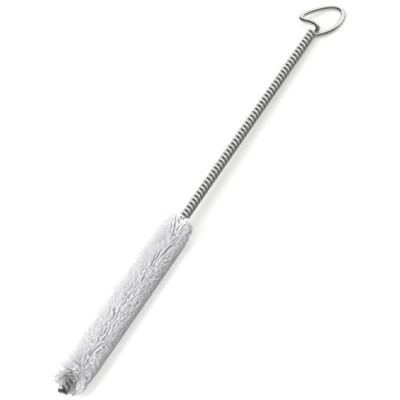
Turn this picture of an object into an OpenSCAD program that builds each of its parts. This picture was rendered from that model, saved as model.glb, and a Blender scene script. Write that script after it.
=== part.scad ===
// Twisted-wire bottle brush, lying on a table as it comes to rest.
// One steel wire is folded at the finger ring, and its two legs are twisted together over their
// whole length. The twist grips two spiral rows of nylon bristles, which are trimmed to a cylinder.
// The brush lies along Y with its ring towards +Y. The table is Z = 0, and the origin is on the
// table below the middle of the brush.

/* [Wire] */
// Diameter of the steel wire
wire_d = 2.2; // [1.4:0.05:2.6]
// Length of one full turn of the twist on the bare stem, in wire diameters
stem_lay = 2.5; // [2.5:0.05:4]
// Length of one full turn of the twist among the bristles, in wire diameters
head_lay = 2.9; // [2.8:0.05:4.5]
// Gap left between the two strands of the twist
strand_gap = 0.06; // [0.02:0.01:0.3]

/* [Lengths] */
// Bare twist in front of the first bristle
tip_len = 10.5; // [6:0.5:30]
// Stretch of the twist that holds bristles
head_len = 109.9; // [50:0.1:200]
// Bare stem from the last bristle to the ring
stem_len = 156.6; // [60:0.1:300]

/* [Bristles] */
// Diameter across the trimmed bristles
head_d = 15.5; // [11:0.5:40]
// Thickness of a row of bristles at the wire, along the brush
row_root_t = 0.3; // [0.2:0.05:0.5]
// Thickness of a row of bristles at its ends, along the brush
row_tip_t = 1.7; // [0.3:0.05:2.2]
// How deep a row sits in the groove between the strands
row_seat = 0.45; // [0.1:0.05:0.6]
// How far the first bristles lean forward at their ends
front_lean = 4.5; // [0:0.25:5]
// How far the last bristles lean back at their ends
rear_lean = 4.5; // [0:0.25:5]
// Length of the head over which the lean dies away
lean_reach = 12; // [6:1:20]

/* [Ring] */
// Width of the finger ring, between the middles of the wire
ring_w = 16.2; // [14:0.2:40]
// Length of the finger ring, from the end of the twist to the middle of the wire
ring_l = 23.8; // [18:0.2:50]
// Height of the underside of the twist above the table at the ring
ring_lift = 0.55; // [0.1:0.05:3]

/* [Hidden] */

wire_sides = 8;
stem_rings = 7;
head_rings = 6;
loop_rings = 8;
row_rings = 16;

wire_r = wire_d / 2;
head_r = head_d / 2;
stem_pitch = stem_lay * wire_d;
head_pitch = head_lay * wire_d;

// Strands that are laid closer than pi diameters push each other off the middle of the twist
core_opening = 0.24;
closeness = max(0, PI - min(stem_lay, head_lay));
helix_r = wire_r * (1 + core_opening * closeness * closeness) + strand_gap / 2;

// Stations along the twist, measured from the tip
head_end = tip_len + head_len;
twist_end = head_end + stem_len;

// The head rests near its back end, and the ring brings the stem down to the table
ring_h = helix_r + wire_r + ring_lift;
rest_u = head_end - lean_reach / 3;
rest_span = twist_end - rest_u;
tilt = acos(ring_h / norm([head_r, rest_span])) - atan2(rest_span, head_r);
mid_y = (twist_end * cos(tilt) + ring_l + wire_r) / 2;

// The twist's middle, its upward direction and a direction around it, in the table's frame
axis_up = [0, sin(tilt), cos(tilt)];
axis_along = [0, cos(tilt), -sin(tilt)];
function axis_at(u) = [0, -mid_y, head_r * cos(tilt) + rest_u * sin(tilt)] + u * axis_along;
function around(angle) = cos(angle) * [1, 0, 0] + sin(angle) * axis_up;

// The first strand is under the stem where it leaves the twist; seen from the tip it turns left
function turns_to_head(u) = max(0, head_end - u) / head_pitch;
function turns_on_stem(u) = (twist_end - max(u, head_end)) / stem_pitch;
function phase(u) = 270 - 360 * (turns_on_stem(u) + turns_to_head(u));

// Even stations from one place on the twist to another, without the last one
function spaced(from, to, count) = [for (i = [0 : count - 1]) from + (to - from) * i / count];
function unit(v) = v / norm(v);

// A strand's stations are pairs of a point and a direction that keeps the section from turning.
// Rings stand a little outside the helix, so that the straight runs between them straddle it.
function straddle(rings) = 2 / (1 + cos(180 / rings));
function strand_at(u, side) =
    let (rings = u < head_end ? head_rings : stem_rings)
    let (out = around(phase(u) + (side > 0 ? 0 : 180)))
    [axis_at(u) + helix_r * straddle(rings) * out, side * out];

head_count = ceil(head_end / head_pitch * head_rings);
stem_count = ceil(stem_len / stem_pitch * stem_rings);
twist_stations = concat(
    spaced(0, head_end, head_count),
    spaced(head_end, twist_end, stem_count)
);

// The second strand goes once more round the stem before it leaves over the top
extra_end = twist_end + stem_pitch;
extra_stations = spaced(extra_end, twist_end, stem_rings);
first_strand = [for (u = twist_stations) strand_at(u, 1)];
second_strand = concat(
    [for (u = extra_stations) strand_at(u, -1)],
    [strand_at(twist_end, -1)],
    [for (i = [len(twist_stations) - 1 : -1 : 0]) strand_at(twist_stations[i], -1)]
);

// Places that the ring passes, as shares of half its width, shares of its length, and heights
ring_start = axis_at(twist_end);
leg_h = ring_h + helix_r;
function ring_place(across, along, height) =
    [across * ring_w / 2, ring_start[1] + along * ring_l, height];
ring_right = ring_place(0.96, 0.64, wire_r);
ring_far = ring_place(0.29, 1, wire_r);
ring_left = ring_place(-1.04, 0.369, leg_h);
ring_leg = ring_place(-0.6, 0.267, leg_h);
leave_low = strand_at(twist_end, 1)[0];
leave_high = strand_at(extra_end, -1)[0];

// Headings at those places, and how strongly the wire holds each one, as a share of the length.
// The lower strand leaves a little wide of its lay, so that it clears the last turn.
lay_slope = 2 * PI * helix_r / stem_pitch;
head_out = unit([1.12 * lay_slope, 1, 0]);
head_in = unit([lay_slope, -1, 0]);
ring_stops = [
    [leave_low, 1.05 * ring_l * head_out],
    [ring_right, 0.5 * ring_l * [0, 1, 0]],
    [ring_far, 0.61 * ring_l * [-1, 0, 0]],
    [ring_left, 0.28 * ring_l * [0, -1, 0]],
    [ring_leg, 0.202 * ring_l * unit([1, 0.085, 0])],
    [leave_high, 0.172 * ring_l * head_in]
];
function hermite(a, b, t) =
    (2 * t - 3) * t * t * (a[0] - b[0]) + a[0]
    + (t - 1) * (t - 1) * t * a[1]
    + (t - 1) * t * t * b[1];
ring_path = [
    for (i = [0 : len(ring_stops) - 2])
        for (t = spaced(0, 1, loop_rings))
            [hermite(ring_stops[i], ring_stops[i + 1], t), [0, 0, -1]]
];
wire_path = concat(first_strand, ring_path, second_strand);

// A round section of the wire, square to its run at one station of the path
function run_at(path, i) =
    unit(path[min(i + 1, len(path) - 1)][0] - path[max(i - 1, 0)][0]);
function section_at(path, i) =
    let (run = run_at(path, i))
    let (hint = path[i][1])
    let (side = unit(hint - (hint * run) * run))
    let (other = cross(run, side))
    [
        for (k = [0 : wire_sides - 1])
            let (angle = (k + 0.5) * 360 / wire_sides)
            path[i][0] + wire_r * (cos(angle) * side + sin(angle) * other)
    ];

// Faces of a skin over sections of equal count, with both ends closed
function skin_faces(sections, sides) = concat(
    [[for (k = [0 : sides - 1]) k]],
    [
        for (i = [0 : sections - 2])
            for (k = [0 : sides - 1])
                let (a = i * sides + k)
                let (b = i * sides + (k + 1) % sides)
                each [[a, a + sides, b], [b, a + sides, b + sides]]
    ],
    [[for (k = [sides - 1 : -1 : 0]) (sections - 1) * sides + k]]
);
function joined(sections) = [for (section = sections) each section];

// A row of bristles: a thin spiral sheet from the groove between the strands to the trimmed end
row_root_r = helix_r + wire_r - row_seat;
row_count = ceil(head_len / head_pitch * row_rings);
row_stations = concat(spaced(tip_len, head_end, row_count), [head_end]);
function lean(u) =
    rear_lean * pow(max(0, 1 - (head_end - u) / lean_reach), 2)
    - front_lean * pow(max(0, 1 - (u - tip_len) / lean_reach), 2);
function row_corner(u, out, radius, shift) = axis_at(u + shift) + radius * out;
function row_section(u, side) =
    let (out = around(phase(u) + side * 90))
    let (bend = lean(u))
    let (end_r = sqrt(head_r * head_r - bend * bend))
    [
        row_corner(u, out, row_root_r, -row_root_t / 2),
        row_corner(u, out, end_r, bend - row_tip_t / 2),
        row_corner(u, out, end_r, bend + row_tip_t / 2),
        row_corner(u, out, row_root_r, row_root_t / 2)
    ];

module twisted_wire() {
    color("silver")
    polyhedron(
        joined([for (i = [0 : len(wire_path) - 1]) section_at(wire_path, i)]),
        skin_faces(len(wire_path), wire_sides)
    );
}

module bristle_row(side) {
    polyhedron(
        joined([for (u = row_stations) row_section(u, side)]),
        skin_faces(len(row_stations), 4)
    );
}

module bristle_spiral() {
    color("white")
    for (side = [-1, 1]) bristle_row(side);
}

twisted_wire();
bristle_spiral();
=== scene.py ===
"""A twisted-wire bottle brush: bright drawn wire, thousands of nylon bristles, and a white table."""
import math

import bpy
import numpy as np
from mathutils import Matrix, Vector


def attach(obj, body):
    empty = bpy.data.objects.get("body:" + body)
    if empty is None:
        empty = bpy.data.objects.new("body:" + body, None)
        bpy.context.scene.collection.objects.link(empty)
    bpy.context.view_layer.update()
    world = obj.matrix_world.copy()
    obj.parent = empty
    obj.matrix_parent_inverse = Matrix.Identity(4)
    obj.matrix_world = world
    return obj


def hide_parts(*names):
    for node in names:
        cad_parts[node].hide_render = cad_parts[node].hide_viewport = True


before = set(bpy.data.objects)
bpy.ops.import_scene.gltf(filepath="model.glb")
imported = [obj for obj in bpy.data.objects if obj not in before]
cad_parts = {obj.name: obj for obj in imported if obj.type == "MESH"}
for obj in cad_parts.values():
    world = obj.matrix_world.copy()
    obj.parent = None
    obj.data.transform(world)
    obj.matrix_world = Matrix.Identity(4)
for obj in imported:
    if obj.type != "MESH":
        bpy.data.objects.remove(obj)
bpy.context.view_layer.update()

MM = 0.001

# The wire and its twist, as the solids have them
WIRE_R = 1.1 * MM
STEM_PITCH = 5.5 * MM
HEAD_PITCH = 6.38 * MM
HELIX_R = 1.239 * MM
TIP_LEN = 10.5 * MM
HEAD_END = 120.4 * MM
TWIST_END = 277.0 * MM

# The trimmed head, and how its end bristles lean
HEAD_R = 7.75 * MM
FRONT_LEAN = 4.5 * MM
REAR_LEAN = 4.5 * MM
LEAN_REACH = 12.0 * MM

# The finger ring, and how high the twist's middle lies there.
# The lower strand leaves a little wide of its lay, so that it clears the last turn.
RING_W = 16.2 * MM
RING_L = 23.8 * MM
RING_H = 2.889 * MM
LEAVE_WIDE = 1.12

# How the brush lies: it rests on the back of its head and on its ring
REST_U = HEAD_END - LEAN_REACH / 3
REST_SPAN = TWIST_END - REST_U
TILT = math.acos(RING_H / math.hypot(HEAD_R, REST_SPAN)) - math.atan2(REST_SPAN, HEAD_R)
MID_Y = (TWIST_END * math.cos(TILT) + RING_L + WIRE_R) / 2
AXIS_ORIGIN = np.array([0, -MID_Y, HEAD_R * math.cos(TILT) + REST_U * math.sin(TILT)])
AXIS_ALONG = np.array([0, math.cos(TILT), -math.sin(TILT)])
AXIS_UP = np.array([0, math.sin(TILT), math.cos(TILT)])
AXIS_RIGHT = np.array([1.0, 0, 0])

# How finely the wire is drawn, what a cut end keeps of its radius, and the strips of its bake map
WIRE_SIDES = 16
RINGS_PER_TURN = 28
RINGS_PER_BEND = 24
CUT_END = 0.86
STRIP_RINGS = 100
STRIP_MARGIN = 0.04

# A bristle: how thick it is, where it starts, and how it curls, turns and leans on its way out
BRISTLE_R = 0.07 * MM
BRISTLE_SIDES = 3
BRISTLE_ROOT_R = 0.9 * MM
STOPS = (0, 0.5, 1)
CURL = math.radians(-25)
TURN_POWER = 0.7
LEAN_POWER = 1.6

# The trim: a little off the middle of the twist, and uneven
TRIM_OFFSET = 0.4 * MM
TRIM_ANGLE = math.radians(155)
TRIM_PROUD = 0.2 * MM
TRIM_UNEVEN = 0.1 * MM

# The wisps of the two rows, and how much each wisp and each of its bristles strays
WISP_STEP = 0.13 * MM
WISP_BRISTLES = 16
WISP_SPREAD = 1.2 * MM
WISP_JITTER = 0.3
WISP_TURN = math.radians(1.2)
WISP_SHIFT = 0.15 * MM
BRISTLE_JITTER = 0.25
BRISTLE_TURN = math.radians(0.7)

# The wisps that splay at the two ends of the head
SPLAY_BRISTLES = 10
SPLAY_TURN = math.radians(1.5)
FRONT_STEP = math.radians(2.2)
FRONT_DEPTH = 2.0 * MM
FRONT_SPLAY = 6.5 * MM
GOLDEN = 0.618034
REAR_WISPS = 160
REAR_DEPTH = 1.2 * MM
REAR_SPLAY = (2.5 * MM, 6.5 * MM)
REAR_TURN = math.radians(25)
SEED = 7


def axis_at(u):
    """Points on the middle of the twist, u from its tip."""
    return AXIS_ORIGIN + np.multiply.outer(u, AXIS_ALONG)


def around(angle):
    """Directions square to the twist, by their angle from the brush's right."""
    return np.multiply.outer(np.cos(angle), AXIS_RIGHT) + np.multiply.outer(np.sin(angle), AXIS_UP)


def phase(u):
    """Where the first strand is on its way round the twist: underneath, at the twist's end."""
    stem_turns = (TWIST_END - np.maximum(u, HEAD_END)) / STEM_PITCH
    head_turns = np.maximum(0, HEAD_END - u) / HEAD_PITCH
    return 1.5 * math.pi - 2 * math.pi * (stem_turns + head_turns)


def unit(v):
    """Vectors of length one."""
    return v / np.linalg.norm(v, axis=-1, keepdims=True)


def tube(lines, sideways, radius, sides):
    """Corners of round sections along some lines. Their first spokes point sideways of the run."""
    run = unit(np.gradient(lines, axis=-2))
    side = unit(sideways(run))
    other = np.cross(run, side)
    angle = np.arange(sides) * 2 * math.pi / sides
    spoke = side[..., None, :] * np.cos(angle)[:, None] + other[..., None, :] * np.sin(angle)[:, None]
    return (lines[..., None, :] + radius * spoke).reshape(-1, 3)


def tube_quads(first, sides):
    """Faces between a section, by the number of its first corner, and the next one."""
    k = np.arange(sides)
    n = (k + 1) % sides
    return np.stack([first + k, first + n, first + sides + n, first + sides + k], axis=-1).reshape(-1, 4)


def new_piece(name, points, faces, bake_map, material):
    """A mesh piece that rides with the brush."""
    mesh = bpy.data.meshes.new(name)
    mesh.from_pydata(points, [], faces)
    mesh.uv_layers.new(name="OFBake").data.foreach_set("uv", bake_map.ravel())
    mesh.materials.append(material)
    piece = bpy.data.objects.new(name, mesh)
    bpy.context.collection.objects.link(piece)
    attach(piece, "root")
    return piece


# The wire


def strand(u, side):
    """A strand's points and the directions that keep its section from turning."""
    out = around(phase(u) + (0 if side > 0 else math.pi))
    return axis_at(u) + HELIX_R * out, side * out


def twist_stations():
    """Even stations along the twist from its tip to its end."""
    head_count = math.ceil(HEAD_END / HEAD_PITCH * RINGS_PER_TURN)
    stem_count = math.ceil((TWIST_END - HEAD_END) / STEM_PITCH * RINGS_PER_TURN)
    head = np.linspace(0, HEAD_END, head_count, endpoint=False)
    return np.concatenate([head, np.linspace(HEAD_END, TWIST_END, stem_count)])


def ring_place(across, along, height):
    """A point that the ring passes: shares of half its width and of its length, and a height."""
    return np.array([across * RING_W / 2, axis_at(TWIST_END)[1] + along * RING_L, height])


def ring_bends(leave_low, leave_high):
    """The smooth run of the ring, from the strand that leaves below to the one that leaves on top.

    Each stop is a place and a heading. A heading's length is how strongly the wire holds it.
    """
    slope = 2 * math.pi * HELIX_R / STEM_PITCH
    out = unit(np.array([LEAVE_WIDE * slope, 1, 0]))
    back = unit(np.array([slope, -1, 0]))
    leg_h = RING_H + HELIX_R
    stops = [
        (leave_low, 1.05 * out),
        (ring_place(0.96, 0.64, WIRE_R), 0.5 * np.array([0, 1, 0])),
        (ring_place(0.29, 1, WIRE_R), 0.61 * np.array([-1, 0, 0])),
        (ring_place(-1.04, 0.369, leg_h), 0.28 * np.array([0, -1, 0])),
        (ring_place(-0.6, 0.267, leg_h), 0.202 * unit(np.array([1, 0.085, 0]))),
        (leave_high, 0.172 * back),
    ]
    t = np.linspace(0, 1, RINGS_PER_BEND, endpoint=False)[1:, None]
    bends = []
    for (a, heading_a), (b, heading_b) in zip(stops, stops[1:]):
        bends.append(
            (2 * t - 3) * t * t * (a - b) + a
            + (t - 1) ** 2 * t * RING_L * heading_a
            + (t - 1) * t * t * RING_L * heading_b
        )
        bends.append(b[None])
    return np.concatenate(bends[:-1])


def wire_path():
    """The whole wire from one cut end to the other: points, and directions that hold its section."""
    stations = twist_stations()
    extra = np.linspace(TWIST_END + STEM_PITCH, TWIST_END, RINGS_PER_TURN, endpoint=False)
    first, first_hint = strand(stations, 1)
    second, second_hint = strand(np.concatenate([extra, stations[::-1]]), -1)
    ring = ring_bends(first[-1], second[0])
    ring_hint = np.tile([0.0, 0.0, -1.0], (len(ring), 1))
    return np.concatenate([first, ring, second]), np.concatenate([first_hint, ring_hint, second_hint])


def wire_map(rings):
    """A bake map of the wire: its skin in long strips, one above the other, and its ends on top."""
    strips = math.ceil(rings / STRIP_RINGS)
    ring = np.arange(rings)[:, None, None]
    k = np.arange(WIRE_SIDES)[:, None]
    ahead, aside = np.array([0, 0, 1, 1]), np.array([0, 1, 1, 0])
    u = (ring % STRIP_RINGS + ahead) / STRIP_RINGS + 0 * k
    v = ring // STRIP_RINGS + STRIP_MARGIN + (1 - 2 * STRIP_MARGIN) * (k + aside) / WIRE_SIDES
    angle = np.arange(WIRE_SIDES) * 2 * math.pi / WIRE_SIDES
    disc = np.stack([0.25 + 0.2 * np.cos(angle), strips + 0.5 + 0.4 * np.sin(angle)], axis=-1)
    skin = np.stack([u, v], axis=-1).reshape(-1, 2)
    return np.concatenate([skin, disc[::-1], disc + (0.5, 0)]) / (1, strips + 1)


def make_wire(material):
    """The round wire, with small chamfers at its two cut ends."""
    points, hint = wire_path()
    radius = np.full((len(points), 1, 1), WIRE_R)
    radius[[0, -1]] *= CUT_END

    def square(run):
        return hint - np.sum(hint * run, axis=1, keepdims=True) * run

    corners = tube(points, square, radius, WIRE_SIDES)
    faces = tube_quads(np.arange(len(points) - 1)[:, None] * WIRE_SIDES, WIRE_SIDES).tolist()
    end = np.arange(WIRE_SIDES)
    faces.append(end[::-1].tolist())
    faces.append(((len(points) - 1) * WIRE_SIDES + end).tolist())
    bake_map = wire_map(len(points) - 1)
    wire = new_piece("drawn_wire", corners.tolist(), faces, bake_map, material)
    wire.data.shade_smooth()
    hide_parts("twisted_wire")


# The bristles


def lean(u):
    """How far the bristles at u lean at their ends: forward at the tip, back at the stem."""
    back = np.maximum(0, 1 - (HEAD_END - u) / LEAN_REACH) ** 2
    front = np.maximum(0, 1 - (u - TIP_LEN) / LEAN_REACH) ** 2
    return REAR_LEAN * back - FRONT_LEAN * front


def upright_bristles(random, start, end):
    """Bristles gripped between two places, in flat wisps: place, row, turn, shift and lean of each."""
    count = 2 * int((end - start) / WISP_STEP)
    u = start + (np.arange(count) % (count // 2) + 0.5) / (count // 2) * (end - start)
    u = u + random.uniform(-WISP_JITTER, WISP_JITTER, count) * WISP_STEP
    row = np.repeat([-1, 1], count // 2)
    turn = random.normal(0, WISP_TURN, count)
    shift = random.normal(0, WISP_SHIFT, count)
    u, row, turn, shift = np.repeat([u, row, turn, shift], WISP_BRISTLES, axis=1)
    u = u + random.uniform(-BRISTLE_JITTER, BRISTLE_JITTER, len(u)) * WISP_STEP
    turn = turn + random.normal(0, BRISTLE_TURN, len(u))
    shift = shift + random.uniform(-1, 1, len(u)) * WISP_SPREAD
    return np.stack([u, row, turn, shift, lean(u)])


def splayed_bristles(random, angle, u, bend):
    """Wisps at an end of the head, which splay to given angles because nothing holds them there."""
    turn = (angle - phase(u) + math.pi) % (2 * math.pi) - math.pi
    row = np.where(turn > 0, 1, -1)
    turn = turn - row * math.pi / 2
    u, row, turn, bend = np.repeat([u, row, turn, bend], SPLAY_BRISTLES, axis=1)
    turn = turn + random.normal(0, SPLAY_TURN, len(u))
    shift = random.normal(0, WISP_SHIFT, len(u))
    return np.stack([u, row, turn, shift, bend])


def front_fan(random):
    """Wisps all round the tip, which lean forward by more and by less."""
    angle = np.arange(0, 2 * math.pi, FRONT_STEP)
    u = TIP_LEN + random.uniform(0, FRONT_DEPTH, len(angle))
    bend = -FRONT_SPLAY * (np.arange(len(angle)) * GOLDEN % 1)
    return splayed_bristles(random, angle, u, bend)


def rear_fan(random):
    """Wisps at the last places of both rows, leaning back over the stem."""
    u = HEAD_END - random.uniform(0, REAR_DEPTH, REAR_WISPS)
    ends = phase(HEAD_END) + random.choice([-0.5, 0.5], REAR_WISPS) * math.pi
    bend = random.uniform(*REAR_SPLAY, REAR_WISPS)
    return splayed_bristles(random, ends + random.normal(0, REAR_TURN, REAR_WISPS), u, bend)


def bristle_lines(random, bristles):
    """The middle lines of some bristles: (count, points, 3). The lowest ones bend on the table."""
    u, row, turn, shift, bend = bristles
    root_angle = phase(u) + row * math.pi / 2
    off_centre = TRIM_OFFSET * np.cos(root_angle + turn - TRIM_ANGLE)
    end_r = np.sqrt(HEAD_R**2 - bend**2) + off_centre + random.normal(TRIM_PROUD, TRIM_UNEVEN, len(u))
    lines = []
    for t in STOPS:
        radius = BRISTLE_ROOT_R + (end_r - BRISTLE_ROOT_R) * t
        angle = root_angle + turn * t**TURN_POWER + CURL * t * (1 - t)
        along = u + bend * t**LEAN_POWER + shift * t
        lines.append(axis_at(along) + radius[:, None] * around(angle))
    lines = np.stack(lines, axis=1)
    lines[..., 2] = np.maximum(lines[..., 2], BRISTLE_R)
    return lines


def bristle_map(count):
    """A small cell of the bake map for each bristle: its strips below, and its cut end on top."""
    cells = math.ceil(math.sqrt(count))
    corner = np.stack([np.arange(count) % cells, np.arange(count) // cells], axis=-1)
    strips = []
    for low, high in zip(STOPS, STOPS[1:]):
        for k in range(BRISTLE_SIDES):
            a, b = k / BRISTLE_SIDES, (k + 1) / BRISTLE_SIDES
            strips.append([(a, low), (b, low), (b, high), (a, high)])
    strips = 0.05 + np.array(strips) * (0.9, 0.75)
    ends = np.array([(0.1, 0.85), (0.9, 0.85), (0.5, 0.95)])
    sides = (corner[:, None, None] + strips).reshape(-1, 2)
    tips = (corner[:, None] + ends).reshape(-1, 2)
    return np.concatenate([sides, tips]) / cells


def make_bristles(name, material, random, bristles):
    """One stretch of the head, bristle by bristle."""
    lines = bristle_lines(random, bristles)
    count, stops = lines.shape[:2]
    corners = tube(lines, lambda run: np.cross(run, AXIS_ALONG), BRISTLE_R, BRISTLE_SIDES)
    first = np.arange(count)[:, None, None] * stops * BRISTLE_SIDES
    quads = tube_quads(first + np.arange(stops - 1)[:, None] * BRISTLE_SIDES, BRISTLE_SIDES)
    tips = first[:, 0] + (stops - 1) * BRISTLE_SIDES + np.arange(BRISTLE_SIDES)
    faces = quads.tolist() + tips.tolist()
    piece = new_piece(name, corners.tolist(), faces, bristle_map(count), material)
    along = np.tile(np.repeat(STOPS, BRISTLE_SIDES), count)
    tone = np.repeat(random.uniform(0, 1, count), stops * BRISTLE_SIDES)
    for label, values in (("along", along), ("tone", tone)):
        piece.data.attributes.new(label, "FLOAT", "POINT").data.foreach_set("value", values)
    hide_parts("bristle_spiral")


# Finishes


class Value:
    """A shader socket that takes part in sums."""

    def __init__(self, finish, socket):
        self.finish, self.socket = finish, socket

    def _math(self, operation, a, b):
        return self.finish.node("ShaderNodeMath", {"operation": operation}, {0: a, 1: b})

    def __add__(self, other):
        return self._math("ADD", self, other)

    def __sub__(self, other):
        return self._math("SUBTRACT", self, other)

    def __rsub__(self, other):
        return self._math("SUBTRACT", other, self)

    def __mul__(self, other):
        return self._math("MULTIPLY", self, other)

    __radd__, __rmul__ = __add__, __mul__


class Finish:
    """A material or a world under way."""

    def __init__(self, block):
        self.block = block
        self.block.use_nodes = True
        self.tree = self.block.node_tree
        self.tree.nodes.clear()

    def node(self, kind, settings=None, sockets=None, output=0):
        """Adds a node, sets it up, fills its sockets, and gives one of its outputs, if it has any."""
        made = self.tree.nodes.new(kind)
        for name, setting in (settings or {}).items():
            setattr(made, name, setting)
        for name, value in (sockets or {}).items():
            if isinstance(value, Value):
                self.tree.links.new(value.socket, made.inputs[name])
            else:
                made.inputs[name].default_value = value
        return Value(self, made.outputs[output]) if made.outputs else None

    def ramp(self, value, start, end, low, high):
        """A smooth change from low to high, as a value goes from start to end."""
        return self.node("ShaderNodeMapRange", {"interpolation_type": "SMOOTHSTEP"}, {
            "Value": value, "From Min": start, "From Max": end, "To Min": low, "To Max": high,
        })

    def near_grey(self, level, blue):
        """A grey of some level, with a blue of its own."""
        return self.node("ShaderNodeCombineColor", sockets={"Red": level, "Green": level, "Blue": blue})

    def surface(self, shader, kind="ShaderNodeOutputMaterial"):
        """Ends the material or world with a shader, and gives it back."""
        self.node(kind, sockets={"Surface": shader})
        return self.block


def drawn_steel():
    """Bright drawn wire with a fine grain, a little darker and duller at its worn tip."""
    worn_start, worn_end = -140 * MM, -128 * MM
    finish = Finish(bpy.data.materials.new("drawn_steel"))
    place = finish.node("ShaderNodeTexCoord", output="Object")
    grain = finish.node("ShaderNodeTexNoise", sockets={"Vector": place, "Scale": 900.0, "Detail": 3.0})
    cloud = finish.node("ShaderNodeTexNoise", sockets={"Vector": place, "Scale": 160.0, "Detail": 2.0})
    away = finish.node("ShaderNodeSeparateXYZ", sockets={"Vector": place}, output="Y")
    worn = finish.ramp(away, worn_start, worn_end, 1.0, 0.0)
    grey = 0.7 + 0.12 * grain + 0.08 * cloud - 0.15 * worn
    shader = finish.node("ShaderNodeBsdfPrincipled", sockets={
        "Base Color": finish.near_grey(grey, 0.99 * grey),
        "Metallic": 1.0,
        "Roughness": 0.05 + 0.14 * cloud + 0.15 * worn,
    })
    return finish.surface(shader)


def nylon():
    """White nylon, with painted shade that darkens it towards the wire, where the bristles crowd
    together; a trace darker towards the cut ends, and each bristle a little different.
    """
    finish = Finish(bpy.data.materials.new("nylon"))
    along = finish.node("ShaderNodeAttribute", {"attribute_name": "along"}, output="Fac")
    tone = finish.node("ShaderNodeAttribute", {"attribute_name": "tone"}, output="Fac")
    # Painted shade: the base colour falls from near white over the outer bristle to 0.42 at the wire,
    # where shade falls among the crowded bristles; it is also a trace darker towards the cut ends.
    light = finish.ramp(along, 0.05, 0.6, 0.42, 0.99) * (1 - 0.03 * along * along)
    white = finish.near_grey(light * (1 - 0.06 * tone), light * (1 - 0.05 * tone))
    shader = finish.node("ShaderNodeBsdfPrincipled", sockets={"Base Color": white, "Roughness": 0.42})
    return finish.surface(shader)


def table_white():
    """A table that looks white to the camera, with soft shadows. Its colour carries painted light,
    lighter by the head than by the ring to the camera, and painted shade, darker at the right in metal.
    """
    plain, glow_seen, glow_in_metal = 0.5, 0.6, 0.08
    finish = Finish(bpy.data.materials.new("table_white"))
    ray = finish.node("ShaderNodeLightPath", output="Is Camera Ray")
    gloss = finish.node("ShaderNodeLightPath", output="Is Glossy Ray")
    through = finish.node("ShaderNodeLightPath", output="Is Transmission Ray")
    place = finish.node("ShaderNodeTexCoord", output="Object")
    away = finish.node("ShaderNodeSeparateXYZ", sockets={"Vector": place}, output="Y")
    aside = finish.node("ShaderNodeSeparateXYZ", sockets={"Vector": place}, output="X")
    # Painted shade: metal sees the table darker to the right of the brush.
    painted_shade_in_metal = finish.ramp(aside, 2 * MM, 20 * MM, 0.0, 0.4)
    # Painted light: the camera sees the table's colour lighter by the head than by the ring, as if more
    # light fell at the head end.
    painted_light_for_camera = finish.ramp(away, -45 * MM, -15 * MM, 0.9, 0.345)
    shade = plain + (painted_light_for_camera - plain) * ray - painted_shade_in_metal * gloss
    tint = finish.near_grey(shade, 0.955 * shade)
    paint = finish.node("ShaderNodeBsdfDiffuse", sockets={"Color": tint})
    strength = glow_seen * ray + glow_in_metal * (gloss + through)
    glow = finish.node("ShaderNodeEmission", sockets={"Strength": strength})
    return finish.surface(finish.node("ShaderNodeAddShader", sockets={0: paint, 1: glow}))


# The picture

# The camera: its angles, how far it stands, how wide it sees, and the place that it aims at
AZIMUTH, ELEVATION = math.radians(23), math.radians(39.55)
DISTANCE = 3.0
PICTURE_W = 174.4 * MM
SENSOR_W = 36.0
AIM_U = 140 * MM
AIM_RIGHT = 3.28 * MM
AIM_UP = 2.2 * MM
BACK = Vector((
    math.sin(AZIMUTH) * math.cos(ELEVATION),
    -math.cos(AZIMUTH) * math.cos(ELEVATION),
    math.sin(ELEVATION),
))
RIGHT = Vector((math.cos(AZIMUTH), math.sin(AZIMUTH), 0))
AWAY = Vector((-math.sin(AZIMUTH), math.cos(AZIMUTH), 0))
UP = BACK.cross(RIGHT)
TABLE_HALF = 2.0

# The lamps: name, place to the right, away and above in metres, size, power and colour
LAMPS = (
    ("key", (-0.62, -0.67, 1.0), 1.0, 22.5, (0.985, 0.985, 1)),
    ("top", (-0.12, 0.45, 1.0), 1.0, 7.5, (1, 1, 1)),
    ("fill", (-1.0, 0.1, 0.45), 0.8, 1.6, (1, 1, 1)),
)
ROOM_LIGHT = 0.12


def make_camera():
    """The photograph's view: from above the tip, far away with a long lens."""
    lens = bpy.data.cameras.new("camera")
    lens.sensor_width = SENSOR_W
    lens.lens = SENSOR_W * DISTANCE / PICTURE_W
    lens.clip_end = 20
    camera = bpy.data.objects.new("camera", lens)
    aim = Vector(axis_at(AIM_U)) + AIM_RIGHT * RIGHT + AIM_UP * UP
    turn = Matrix((RIGHT, UP, BACK)).transposed().to_4x4()
    camera.matrix_world = Matrix.Translation(aim + DISTANCE * BACK) @ turn
    bpy.context.collection.objects.link(camera)
    bpy.context.scene.camera = camera


def make_table():
    """A plain table top under the brush."""
    low, high = -TABLE_HALF, TABLE_HALF
    corners = [(low, low, 0), (high, low, 0), (high, high, 0), (low, high, 0)]
    mesh = bpy.data.meshes.new("table")
    mesh.from_pydata(corners, [], [(0, 1, 2, 3)])
    mesh.materials.append(table_white())
    table = bpy.data.objects.new("table", mesh)
    bpy.context.collection.objects.link(table)


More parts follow.
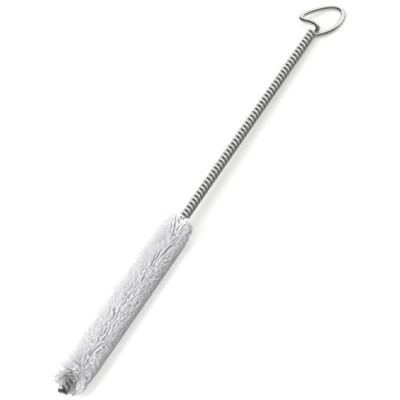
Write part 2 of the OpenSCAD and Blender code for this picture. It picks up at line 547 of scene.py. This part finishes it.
def make_lamp(name, place, size, power, colour):
    """A square soft lamp that faces the middle of the brush, and that metal doesn't show."""
    light = bpy.data.lights.new(name, "AREA")
    light.size, light.energy, light.color = size, power, colour
    lamp = bpy.data.objects.new(name, light)
    lamp.matrix_world = Matrix.Translation(place) @ place.to_track_quat("Z", "Y").to_matrix().to_4x4()
    lamp.visible_glossy = False
    bpy.context.collection.objects.link(lamp)


def make_room():
    """Dim surroundings, which metal shows with a white back, a grey ceiling and a dark left."""
    room = Finish(bpy.data.worlds.new("studio"))
    gloss = room.node("ShaderNodeLightPath", output="Is Glossy Ray")
    way = room.node("ShaderNodeTexCoord", output="Generated")

    def toward(direction, start, end, low, high):
        sockets = {0: way, 1: direction.normalized()}
        share = room.node("ShaderNodeVectorMath", {"operation": "DOT_PRODUCT"}, sockets, "Value")
        return room.ramp(share, start, end, low, high)

    sides = toward(0.4 * AWAY - 0.9 * RIGHT, -0.3, 0.45, 0.14, 0.03)
    back = toward(Vector((-0.2, 0.95, 0.1)), 0.36, 0.58, 0.0, 0.95)
    ceiling = toward(Vector((0, 0, 1)), 0.5, 0.95, 0.0, 0.15)
    strength = ROOM_LIGHT + (sides + back + ceiling - ROOM_LIGHT) * gloss
    light = room.node("ShaderNodeBackground", sockets={"Color": (1, 1, 1, 1), "Strength": strength})
    bpy.context.scene.world = room.surface(light, "ShaderNodeOutputWorld")


def make_studio():
    """Soft lamps in front at the left, above and low at the left, in a dim room."""
    for name, (right, away, above), size, power, colour in LAMPS:
        make_lamp(name, right * RIGHT + away * AWAY + Vector((0, 0, above)), size, power, colour)
    make_room()


bpy.context.scene.view_settings.view_transform = "Standard"
bpy.context.scene.cycles.max_bounces = 32
bpy.context.scene.cycles.diffuse_bounces = 24
make_camera()
make_table()
make_studio()
make_wire(drawn_steel())
white = nylon()
random = np.random.default_rng(SEED)
edges = np.linspace(TIP_LEN, HEAD_END, 4)
front, middle, rear = (upright_bristles(random, start, end) for start, end in zip(edges, edges[1:]))
make_bristles("bristles_front", white, random, np.concatenate([front, front_fan(random)], axis=1))
make_bristles("bristles_middle", white, random, middle)
make_bristles("bristles_rear", white, random, np.concatenate([rear, rear_fan(random)], axis=1))
